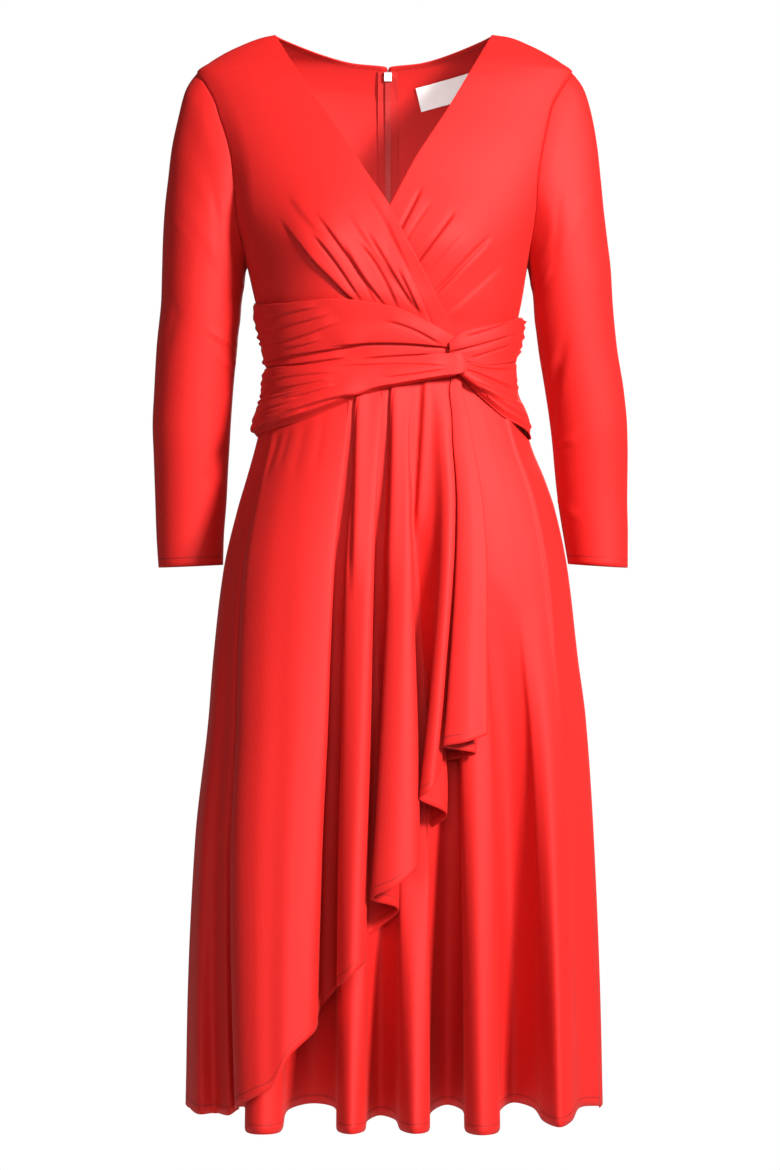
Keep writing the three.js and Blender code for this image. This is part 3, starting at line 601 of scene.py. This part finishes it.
BAND = "x top bottom lift"
bands = {
    "band_upper_right": dict(
        gathers=8, turned=0, grid=(150, 90),
        sections=table(BAND, (-160, -286, -364, 5.2), (-122, -291, -369, 7), (-95, -294, -370, 9),
                       (-51, -292, -363, 9.5), (-20, -295, -361, 9.5), (5, -300, -360, 10),
                       (30, -311, -359, 10.5), (48, -321, -357, 12), (68, -333, -352, 12)),
        creases=table(CREASE,
                      (-134, -306, -104, -304, -70, -299, 2.2, 1.4, 8),
                      (-134, -318, -100, -316, -58, -306, 2.2, 1.6, 8),
                      (-130, -333, -90, -328, -50, -314, 2.4, 2.0, 9),
                      (-128, -341, -96, -338, -66, -331, 2.0, 1.4, 6),
                      (-150, -353, -80, -345, -20, -337, 2.6, 3.0, 12),
                      (-62, -339.5, 4, -336, 70, -342, 2.6, 3.6, 14),
                      (-120, -358, -80, -355, -40, -350, 2.2, 1.6, 7),
                      (-30, -352, 10, -349, 50, -347, 2.2, 1.5, 7),
                      (-6, -313, 26, -322, 56, -338, 2.6, 1.6, 9))),
    "band_lower_right": dict(
        gathers=9, turned=0.7, grid=(150, 90),
        sections=table(BAND, (-160, -355, -432, 8.6), (-122, -358, -427, 11.4), (-84, -358, -416, 13.5),
                       (-51, -355, -402, 14.5), (-29, -354, -392, 15), (12, -352, -380, 17),
                       (46, -347, -373, 20), (62, -347, -370, 23.5), (70, -353, -366, 21)),
        creases=table(CREASE,
                      (-160, -431, -86, -401, -18, -387, 2.8, 3.4, 14),
                      (-110, -393, -80, -387, -52, -379, 2.2, 1.8, 8),
                      (-134, -374, -100, -369, -40, -366, 2.2, 1.5, 8),
                      (-132, -384, -96, -379, -50, -372, 2.0, 1.4, 7),
                      (-134, -402, -112, -399, -90, -392, 2.0, 1.4, 6),
                      (-128, -421, -108, -414, -84, -405, 2.2, 1.4, 7),
                      (-10, -372, 26, -368, 62, -362, 2.4, 1.4, 10),
                      (-70, -361, 0, -358, 66, -360, 2.6, 1.6, 9))),
    "band_upper_left": dict(
        gathers=5, turned=0, grid=(90, 70),
        sections=table(BAND, (55, -336, -348, 17), (67, -325, -353, 18), (91, -317, -357, 14.2),
                       (112, -311, -354, 10.6), (128, -305, -349, 8.6), (160, -301, -341, 8)),
        creases=table(CREASE,
                      (58, -346, 94, -336, 136, -320, 2.4, 2.8, 9),
                      (82, -351, 106, -342, 133, -331, 2.2, 2.0, 7),
                      (78, -329, 99, -322, 124, -312, 2.2, 1.6, 8))),
    "band_lower_left": dict(
        gathers=10, turned=0.75, grid=(90, 100),
        sections=table(BAND, (66, -358, -365, 13.5), (78, -355, -375, 12.5), (92, -350, -391, 10),
                       (110, -347, -411, 7.5), (130, -342, -424, 5.2), (160, -333, -430, 4)),
        creases=table(CREASE,
                      (72, -355, 97, -360.5, 134, -358, 2.2, 2.0, 7),
                      (70, -360, 99, -369, 134, -381, 2.4, 2.6, 9),
                      (84, -372, 112, -384, 138, -390, 2.0, 1.4, 6),
                      (60, -356, 101, -385, 148, -412, 2.6, 3.2, 10),
                      (92, -378, 116, -392, 142, -397, 2.0, 1.4, 6))),
}
GATHER_DEPTH = 1.5
SIDE_TURN = 0.018
CORNER = 0.1
GATHER_REACH = 0.25
BAND_PUFF = 1.6
BAND_CLEAR = 2.2


def band_surface(band):
    sections = band["sections"]
    count = len(sections["x"])
    data = dict(sections, at=np.arange(count) / (count - 1),
                round=angle_at(sections["x"], (sections["top"] + sections["bottom"]) / 2))
    read = {name: track(data, "at", name) for name in ("round", "top", "bottom", "lift")}
    side_end = 0 if sections["x"][0] < 0 else 1

    def surface(u, v):
        from_side = np.abs(u - side_end)
        uneven = v + 0.035 * np.sin(9.1 * v + band["gathers"]) + 0.012 * np.sin(23 * v)
        wave = -np.cos(2 * np.pi * band["gathers"] * uneven) * (0.65 + 0.35 * np.sin(17 * v))
        reach = GATHER_REACH * (0.5 + np.sin(11 * v + band["gathers"]) ** 2)
        gather = GATHER_DEPTH * wave * (1 - ease(0, 1, from_side / reach))
        lift = read["lift"](u) + BAND_PUFF * np.sin(np.pi * v) + gather
        lift = lift * (1 - band["turned"] * ease(0.88, 1, v))
        corner = 0.7 * (1 - ease(0, CORNER, np.minimum(v, 1 - v))) * (1 - ease(0, 2 * CORNER, from_side))
        lift = np.maximum(BAND_CLEAR, lift * (1 - corner)) * ease(-0.2 * SIDE_TURN, SIDE_TURN, from_side)
        return skin(read["round"](u), lerp(read["top"](u), read["bottom"](u), v), lift)
    return surface


band_pieces = {}
for name, band in bands.items():
    band_pieces[name] = sheet_piece(f"{name}_cloth", *band["grid"], band_surface(band), (230, 80),
                                    relief_of(band["creases"]))

# Skirt

def skirt_point(share, z, extra):
    """A front point of the skirt at a share of the half width."""
    square = form_at["square"](z)
    base = form_at["front"](z) * np.maximum(0, 1 - np.abs(share) ** square) ** (1 / square)
    return np.stack([share * half_width(share, z), -np.maximum(SEAM / 2, base + extra), z], axis=-1)


def skirt_depth(x, z):
    return -skirt_point(x / half_width(x, z), z, 0)[..., 1]


def smooth_row(points_at, ends):
    """A surface through a row of fold lines: points_at(i, v) gives line i, ends is each line at the hem."""
    gaps = np.sqrt(np.linalg.norm(np.diff(ends, axis=0), axis=1))
    knots = np.concatenate([[0], np.cumsum(gaps)]) / gaps.sum()
    last = len(knots) - 1

    def surface(u, v):
        i = np.clip(np.searchsorted(knots, u) - 1, 0, last - 1)
        a, b, c, d = (points_at(np.clip(i + k, 0, last), v) for k in (-1, 0, 1, 2))
        ka, kb, kc, kd = (knots[np.clip(i + k, 0, last)][:, None] for k in (-1, 0, 1, 2))
        step = kc - kb
        first = np.maximum(kb - ka, 1e-9)
        after = np.maximum(kd - kc, 1e-9)
        in_slope = np.where(i[:, None] == 0, (c - b) / step,
                            ((c - b) / step * first + (b - a) / first * step) / (first + step))
        out_slope = np.where(i[:, None] == last - 1, (c - b) / step,
                             ((c - b) / step * after + (d - c) / after * step) / (after + step))
        s = (u[:, None] - kb) / step
        square, cube = s * s, s * s * s
        return ((2 * cube - 3 * square + 1) * b + (cube - 2 * square + s) * step * in_slope
                + (3 * square - 2 * cube) * c + (cube - square) * step * out_slope)
    return surface


front_folds = table("x hem depth opens",
                    (-212, -1131, 0, -430), (-180, -1135, 42, -430), (-150, -1124, 66, -430),
                    (-142, HEM_Z, 150, -560), (-126, HEM_Z, 162, -560), (-110, HEM_Z, 150, -560),
                    (-102, -1126, 70, -560), (-79, -1124, 45, -560), (-57, -1125, 60, -620),
                    (-50, HEM_Z, 145, -930), (-37, HEM_Z, 160, -900), (-25, HEM_Z, 145, -880),
                    (-20, -1134, 88, -760), (-8, -1133, 66, -700), (6, -1134, 82, -760),
                    (14, HEM_Z, 140, -885), (27, HEM_Z, 158, -885), (40, HEM_Z, 146, -885),
                    (45, -1127, 80, -800), (62, -1125, 48, -700), (76, -1127, 66, -620),
                    (80, HEM_Z, 150, -568), (94, HEM_Z, 166, -568), (110, HEM_Z, 152, -568),
                    (117, -1127, 66, -568), (131, -1124, 40, -580), (150, -1126, 60, -600),
                    (160, -1134, 98, -600), (175, HEM_Z, 120, -600), (188, -1134, 98, -600),
                    (200, -1128, 48, -600), (225, -1134, 0, -600))


def front_fold(i, v):
    x, hem, depth, opens = (front_folds[name][i] for name in front_folds)
    z = lerp(WAIST_Z - SEAM / 2, hem, v)
    share = np.clip(x / half_width(x, hem), -1, 1)
    opened = np.clip((opens - z) / (opens - hem), 0, 1)
    return skirt_point(share, z, (depth - skirt_depth(x, hem)) * opened)


def ends_of(fold, folds):
    count = len(folds["x"])
    return fold(np.arange(count), np.ones(count))


skirt_front = sheet_piece("skirt_front_cloth", 260, 100,
                          smooth_row(front_fold, ends_of(front_fold, front_folds)), (1100, 790),
                          stitched="hem", seams="first last")

overlay_folds = table("top_x top_z x z depth turn bow",
                      (-150, -432, -215, -1132, 0, 0, 0),
                      (-131, -432, -192, -1132, 66, 0, 0),
                      (-124, -430, -178, -1132, 56, 0, 0),
                      (-121, -430, -162, -1130, 82, 0, 0),
                      (-119, -430, -155, -1126, 76, 0, 0),
                      (-113, -428, -151, -1108, 156, 0, 0),
                      (-95, -420, -132, -1096, 174, 0, 0),
                      (-78, -412, -117, -1088, 177, 0, 0),
                      (-59, -405, -99, -1056, 177, 0, 0),
                      (-40, -396, -74, -1033, 162, 0, 0),
                      (-38.5, -395, -69, -1020, 92, 0, 0),
                      (-30, -393, -52, -996, 98, 0, 0),
                      (-29, -392, -50, -986, 164, 0, 0),
                      (-14, -388, -36, -973, 177, 0, 0),
                      (-4, -385, -24, -964, 166, 0, -5),
                      (-3, -385, -21, -945, 100, 0, -5),
                      (5, -383, -10, -915, 122, 20, 0),
                      (6.5, -383, -17, -898, 168, 0, 2),
                      (20, -380, 6, -886, 180, 0, -4),
                      (32, -378, 30, -867, 168, 0, -15),
                      (34, -377, 33, -842, 100, 0, -15),
                      (45, -376, 35, -817, 128, 24, -6),
                      (48, -376, 31, -798, 160, 0, 4),
                      (54, -374, 42, -790, 167, 0, 2),
                      (61, -372, 53, -775, 152, 0, 0),
                      (63, -371, 55, -765, 112, 0, 0),
                      (66.5, -370, 58, -754, 142, 30, -2),
                      (67, -370, 55, -746, 164, 0, -4),
                      (70, -369, 78, -741, 171, 0, 0),
                      (72.5, -369, 100, -734, 162, 0, 4))
HOLLOW_DELAY = 1.8


def overlay_fold(i, v):
    top_x, top_z, x, z_end, depth, turn, bow = (overlay_folds[name][i] for name in overlay_folds)
    top_z = top_z + TUCK
    z = lerp(top_z, z_end, v)
    share = lerp(np.clip(top_x / half_width(top_x, top_z), -1, 1),
                 np.clip(x / half_width(x, z_end), -1, 1), v)
    points = skirt_point(share, z, 0)
    grow = depth - skirt_depth(x, z_end) - OVERLAY_LIFT
    side = share <= -1 + 1e-9
    points[:, 1] -= np.where(side, 0, OVERLAY_LIFT + grow * np.where(grow > 0, v, v ** HOLLOW_DELAY))
    drift = (np.sign(share) * OVERLAY_LIFT * np.abs(share) ** 3 + turn * ease(0.5, 1, v)
             + bow * np.sin(np.pi * np.sqrt(v)))
    points[:, 0] += np.where(side, -OVERLAY_SIDE_LIFT, drift)
    return points


overlay_creases = table(
    CREASE,
    (-31, -340, -33.5, -455, -37, -600, 4.0, 3.2, 9),
    (6, -335, 2, -450, -4, -600, 4.0, 3.0, 9),
    (38, -335, 33, -445, 27, -540, 4.5, 3.2, 8),
    (-112, -424, -118, -446, -128, -476, 3.0, 1.0, 0),
    (-101, -420, -106, -440, -113, -462, 2.6, 0.8, 0),
    (-84, -412, -90, -440, -98, -480, 4.0, 0.5, 0),
    (-66, -404, -70, -436, -76, -470, 4.0, 0.5, 0),
)
overlay = sheet_piece("overlay_cloth", 300, 115,
                      smooth_row(overlay_fold, ends_of(overlay_fold, overlay_folds)), (800, 740),
                      relief_of(overlay_creases), stitched="hem last")

BACK_FOLDS = {"each": 3, "rise": 26, "opens": -480}


def back_skirt_surface(sign):
    def surface(u, v):
        z = lerp(WAIST_Z - SEAM / 2, HEM_Z, v)
        opened = np.clip((BACK_FOLDS["opens"] - z) / (BACK_FOLDS["opens"] - HEM_Z), 0, 1)
        centre = sign * np.where(z > ZIP_END, ZIP_EDGE, SEAM / 2)
        angle = lerp(angle_at(centre, z), sign * QUARTER, u)
        points = skin(angle, z, 0.0, True)
        rise = BACK_FOLDS["rise"] * opened * np.cos(2 * np.pi * BACK_FOLDS["each"] * u) * (1 - u ** 6)
        points[:, 0] += rise * np.where(u > 0.02, np.sin(angle), 0)
        points[:, 1] += rise * np.cos(angle)
        return points
    return surface


back_skirt_creases = {
    -1: table(CREASE,
              (-60, -358, -66, -430, -71, -540, 6.0, 1.8, 0),
              (-104, -356, -113, -410, -120, -486, 6.0, 1.6, 0),
              (-28, -356, -31, -400, -32, -452, 5.0, 1.4, 0)),
    1: table(CREASE,
             (44, -357, 47, -420, 50, -512, 6.0, 1.8, 0),
             (86, -356, 93, -440, 100, -556, 7.0, 1.7, 0),
             (112, -356, 122, -396, 129, -440, 5.0, 1.3, 0)),
}
skirt_back_right = sheet_piece("skirt_back_right_cloth", 120, 90, back_skirt_surface(-1), (420, 790),
                               relief_of(back_skirt_creases[-1]), stitched="hem", seams="first last top")
skirt_back_left = sheet_piece("skirt_back_left_cloth", 120, 90, back_skirt_surface(1), (420, 790),
                              relief_of(back_skirt_creases[1]), stitched="hem", seams="first last top")

replaced = {
    right_front: "bodice_right_front", left_front: "bodice_left_front",
    back_right: "bodice_back_right", back_left: "bodice_back_left",
    sleeve_right: "sleeve_right", sleeve_left: "sleeve_left",
    skirt_front: "skirt_front", overlay: "skirt_overlay",
    skirt_back_right: "skirt_back_right", skirt_back_left: "skirt_back_left",
}
replaced.update({piece: name for name, piece in band_pieces.items()})
for piece, name in replaced.items():
    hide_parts(name)

# The zip's coil, drawn 1.6 mm apart, on the inner face of its strip
COIL = {"pitch": 1.6, "across": 5.2, "thick": 0.55, "lean": 9, "top": -44, "bottom": -505, "inside": 5.1}


def zip_coil():
    mesh = bmesh.new()
    for i, z in enumerate(np.arange(COIL["top"], COIL["bottom"], -COIL["pitch"])):
        lean = math.radians(COIL["lean"] * (-1) ** i)
        turn = Matrix.Rotation(QUARTER, 4, "Y") @ Matrix.Rotation(lean, 4, "X")
        place = Matrix.Translation((0, float(form_at["back"](z) - COIL["inside"]) * MM, float(z) * MM))
        bmesh.ops.create_cone(mesh, cap_ends=True, segments=6, radius1=COIL["thick"] * MM,
                              radius2=COIL["thick"] * MM, depth=COIL["across"] * MM, matrix=place @ turn)
    data = bpy.data.meshes.new("zip_coil")
    mesh.to_mesh(data)
    mesh.free()
    coil = bpy.data.objects.new("zip_coil", data)
    bpy.context.scene.collection.objects.link(coil)
    data.materials.append(nylon)
    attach(coil, "dress")


zip_coil()

# Finishes of the solids that stay
for name, material in (("zip_tape_right", tape_cloth), ("zip_tape_left", tape_cloth), ("zip_chain", nylon),
                       ("zip_slider", silver), ("zip_pull_tab", silver), ("label_blank", satin)):
    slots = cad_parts[name].data.materials
    slots.clear()
    slots.append(material)


# Studio

FLOOR_Z = -1620
FLOOR_RADIUS = 2100


def stage():
    """A round pale floor below the dress, too small for the front view to show. Nothing stands behind the dress,
    so it can be seen from all sides."""
    mesh = bmesh.new()
    bmesh.ops.create_circle(mesh, cap_ends=True, segments=96, radius=FLOOR_RADIUS * MM)
    bmesh.ops.translate(mesh, verts=mesh.verts, vec=(0, 0, FLOOR_Z * MM))
    data = bpy.data.meshes.new("studio_floor")
    mesh.to_mesh(data)
    mesh.free()
    floor = bpy.data.objects.new("studio_floor", data)
    bpy.context.scene.collection.objects.link(floor)
    data.materials.append(plain_finish("pale_paper", "E4E2E0", 0.9, grain_mm=2.0))


def light(name, place, aim, size, power, spread=180):
    data = bpy.data.lights.new(name, "AREA")
    data.shape = "SQUARE"
    data.size = size
    data.energy = power
    data.spread = math.radians(spread)
    lamp = bpy.data.objects.new(name, data)
    bpy.context.scene.collection.objects.link(lamp)
    lamp.location = place
    direction = type(lamp.location)(aim) - lamp.location
    lamp.rotation_euler = direction.to_track_quat("-Z", "Y").to_euler()


stage()
light("key", (2.2, -2.7, 1.0), (0, 0, -0.55), 0.7, 42, 60)
light("front", (0.1, -3.7, 0.5), (0, 0, -0.5), 1.6, 8, 60)
light("back", (0.2, 3.3, 0.6), (0, 0, -0.6), 0.9, 26, 60)
light("neck", (0.0, -0.03, -0.215), (0.02, 0.08, -0.10), 0.09, 0.15)

# The air is white to look at and dim as a light
AIR_LIGHT = 0.16
world = bpy.data.worlds.new("studio_air")
world.use_nodes = True
world.node_tree.nodes.clear()
path = add_node(world.node_tree, "ShaderNodeLightPath")
strength = add_node(world.node_tree, "ShaderNodeMapRange", {}, {
    "Value": path.outputs["Is Camera Ray"], "To Min": AIR_LIGHT, "To Max": 1.0})
air = add_node(world.node_tree, "ShaderNodeBackground", {}, {
    "Color": (1, 1, 1, 1), "Strength": strength.outputs["Result"]})
add_node(world.node_tree, "ShaderNodeOutputWorld", {}, {"Surface": air.outputs["Background"]})
bpy.context.scene.world = world
bpy.context.scene.view_settings.view_transform = "Standard"

# Camera: level, at half the dress's height
CAMERA_DISTANCE = 3300
SCALE = 1.057
PHOTO_HEIGHT = 1170
SENSOR = 36
camera_data = bpy.data.cameras.new("camera")
camera_data.sensor_width = SENSOR
camera_data.lens = SENSOR * CAMERA_DISTANCE / (PHOTO_HEIGHT * SCALE)
camera = bpy.data.objects.new("camera", camera_data)
bpy.context.scene.collection.objects.link(camera)
camera.location = (2.1 * MM, -CAMERA_DISTANCE * MM, -583.5 * MM)
camera.rotation_euler = (QUARTER, 0, 0)
bpy.context.scene.camera = camera
